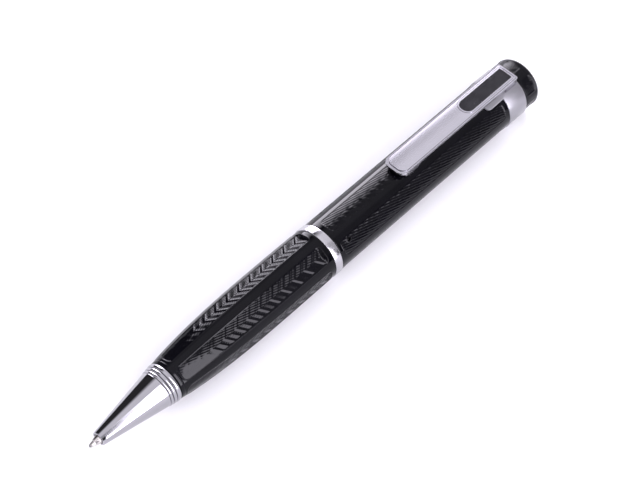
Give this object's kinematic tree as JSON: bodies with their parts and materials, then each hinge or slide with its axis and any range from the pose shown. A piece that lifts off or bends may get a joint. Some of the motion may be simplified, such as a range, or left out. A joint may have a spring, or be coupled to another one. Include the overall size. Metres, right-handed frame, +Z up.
{
  "type": "pen camera",
  "caption": "Ballpoint pen with a hidden video camera: engraved black barrel, chrome bands and clip, twist-out refill, and a plug socket where its halves pull apart.",
  "frame": {"origin": "centre of the underside of the bounding box, on the surface the pen lies on", "axes": "+X from the writing tip to the crown, +Z up through the clip, +Y to the left of the clip seen from the tip"},
  "size_m": [0.143, 0.0132, 0.0149],
  "materials": {
    "black_lacquer": "high gloss lacquer over brass, engraved",
    "chrome": "polished chrome plate",
    "clip_metal": "satin nickel and chrome plate",
    "tinted_plastic": "smoked, semi-transparent to the lens behind it",
    "brass": "turned",
    "refill_steel": "turned and burnished",
    "tungsten_ball": "polished carbide",
    "refill_metal": "drawn tube",
    "ink": "paste ink column, given as a solid",
    "white_acetal": "moulded acetal",
    "black_moulding": "moulded",
    "rubber": "moulded",
    "tinned_steel": "tin plate",
    "circuit_board": "solder mask over glass fibre board",
    "chip_resin": "moulded resin",
    "clear_resin": "clear resin",
    "pouch_foil": "laminated foil pouch",
    "foam": "closed cell foam",
    "red_insulation": "wire insulation",
    "black_insulation": "wire insulation",
    "lens_glass": "coated",
    "ribbon_film": "polyimide film",
    "gold_plate": "gold flash",
    "capacitor_ceramic": "sintered"
  },
  "bodies": {
    "camera_half": {"upper_barrel": "black_lacquer", "clip_band": "chrome", "inner_carrier": "black_moulding", "neck_o_ring": "rubber", "usb_shell": "tinned_steel", "neck_face": "black_moulding", "usb_tongue": "black_moulding", "usb_contact_1": "gold_plate", "usb_contact_2": "gold_plate", "usb_contact_3": "gold_plate", "usb_contact_4": "gold_plate", "usb_contact_5": "gold_plate", "main_board": "circuit_board", "video_processor": "chip_resin", "flash_memory": "chip_resin", "clock_crystal": "tinned_steel", "power_regulator": "chip_resin", "status_led": "clear_resin", "capacitor_1": "capacitor_ceramic", "capacitor_2": "capacitor_ceramic", "capacitor_3": "capacitor_ceramic", "capacitor_4": "capacitor_ceramic", "battery_cell": "pouch_foil", "battery_pad": "foam", "battery_wire_plus": "red_insulation", "battery_wire_minus": "black_insulation", "mic_boot": "rubber", "mic_capsule": "tinned_steel", "image_sensor": "chip_resin", "lens_holder": "black_moulding", "camera_lens": "lens_glass", "camera_ribbon": "ribbon_film", "switch_ribbon": "ribbon_film", "switch_body": "refill_steel", "switch_plug": "black_moulding", "return_spring": "refill_steel"},
    "crown": {"crown_cap": "black_lacquer", "crown_plunger": "white_acetal"},
    "switch_key": {"switch_button": "black_moulding"},
    "clip": {"clip_blade": "clip_metal", "clip_window": "tinted_plastic"},
    "twist_core": {"centre_band": "chrome", "twist_rotor": "brass"},
    "lower_half": {"lower_barrel": "black_lacquer", "collar": "chrome", "nose_cone": "chrome", "nose_bush": "brass", "cam_guide": "white_acetal"},
    "refill": {"refill_tip": "refill_steel", "tip_ball": "tungsten_ball", "refill_tube": "refill_metal", "ink_column": "ink", "cam_follower": "white_acetal", "follower_pin": "refill_steel"}
  },
  "joints": [
    {"name": "crown_press", "type": "slide", "parent": "camera_half", "child": "crown", "axis": [-1, 0, 0], "range_m": [0, 0.0005], "stiffness_N_per_m": 800, "springref_m": -0.002, "deforming": ["return_spring"]},
    {"name": "switch_travel", "type": "slide", "parent": "camera_half", "child": "switch_key", "axis": [-1, 0, 0], "range_m": [0, 0.0005]},
    {"name": "clip_flex", "type": "hinge", "parent": "camera_half", "child": "clip", "pos_m": [0.0655, 0, 0.01384], "axis": [0, 1, 0], "range_deg": [0, 4], "stiffness_Nm_per_rad": 2, "springref_deg": -0.57},
    {"name": "pull_apart", "type": "slide", "parent": "camera_half", "child": "twist_core", "axis": [-1, 0, 0], "range_m": [0, 0.03]},
    {"name": "barrel_twist", "type": "hinge", "parent": "twist_core", "child": "lower_half", "pos_m": [0.0015, 0, 0.00664], "axis": [1, 0, 0], "range_deg": [0, 180]},
    {"name": "refill_slide", "type": "slide", "parent": "lower_half", "child": "refill", "axis": [1, 0, 0], "range_m": [0, 0.005]}
  ],
  "couplings": [
    {"joint": "switch_travel", "follows": "crown_press", "ratio": 1},
    {"joint": "refill_slide", "follows": "barrel_twist", "m_per_rad": 0.0015915}
  ]
}
